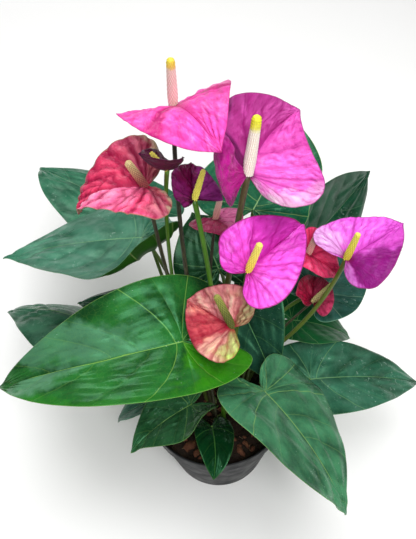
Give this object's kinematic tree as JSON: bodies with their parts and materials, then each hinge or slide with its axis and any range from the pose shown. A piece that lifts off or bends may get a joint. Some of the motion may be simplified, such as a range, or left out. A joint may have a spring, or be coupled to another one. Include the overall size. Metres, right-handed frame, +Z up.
{
  "type": "potted anthurium",
  "caption": "Potted flamingo flower: heart-shaped leaves and coloured spathes with flower spikes on thin stalks, standing in a tapered nursery pot of potting mix.",
  "frame": {"origin": "centre of the pot's underside", "axes": "+Z up; -Y is the front, the side that the picture shows; +X is to the right seen from there"},
  "size_m": [0.4497, 0.4299, 0.4278],
  "materials": {
    "leaf_green": "satin",
    "leaf_bright": "gloss",
    "leaf_glaucous": "satin",
    "stalk_green": "satin",
    "stalk_dark": "satin",
    "spadix_yellow": "satin",
    "spadix_cream": "satin",
    "spadix_green": "satin",
    "spathe_top": "gloss",
    "spathe_large": "gloss",
    "spathe_left": "gloss",
    "spathe_centre": "gloss",
    "spathe_low": "gloss",
    "spathe_right": "gloss",
    "spathe_right_low": "gloss",
    "spathe_right_back": "gloss",
    "spathe_dark": "gloss",
    "spathe_small_dark": "gloss",
    "spathe_middle_pink": "gloss",
    "pot": "satin",
    "potting_mix": "matte"
  },
  "bodies": {
    "root": {"leaf_front_left": "leaf_bright", "leaf_front_right": "leaf_green", "leaf_right": "leaf_green", "leaf_young_front": "leaf_green", "leaf_low_left": "leaf_green", "leaf_left": "leaf_green", "leaf_upper_left": "leaf_glaucous", "leaf_back_left": "leaf_glaucous", "leaf_back_right": "leaf_green", "leaf_back": "leaf_green", "leaf_right_low": "leaf_green", "leaf_centre": "leaf_green", "leaf_centre_back": "leaf_green", "leaf_sliver_left": "leaf_green", "leaf_sliver_low": "leaf_green", "leaf_grey_right": "leaf_glaucous", "stalk_top": "stalk_dark", "spathe_top": "spathe_top", "spadix_top": "spadix_cream", "stalk_large": "stalk_green", "spathe_large": "spathe_large", "spadix_large": "spadix_cream", "stalk_left": "stalk_dark", "spathe_left": "spathe_left", "spadix_left": "spadix_cream", "stalk_centre": "stalk_green", "spathe_centre": "spathe_centre", "spadix_centre": "spadix_yellow", "stalk_low": "stalk_green", "spathe_low": "spathe_low", "spadix_low": "spadix_green", "stalk_right": "stalk_green", "spathe_right": "spathe_right", "spadix_right": "spadix_yellow", "stalk_right_low": "stalk_dark", "spathe_right_low": "spathe_right_low", "spadix_right_low": "spadix_green", "stalk_right_back": "stalk_green", "spathe_right_back": "spathe_right_back", "spadix_right_back": "spadix_cream", "stalk_dark": "stalk_green", "spathe_dark": "spathe_dark", "spadix_dark": "spadix_yellow", "stalk_small_dark": "stalk_green", "spathe_small_dark": "spathe_small_dark", "spadix_small_dark": "spadix_yellow", "stalk_middle_pink": "stalk_dark", "spathe_middle_pink": "spathe_middle_pink", "spadix_middle_pink": "spadix_cream", "pot": "pot", "potting_mix": "potting_mix"}
  },
  "joints": []
}
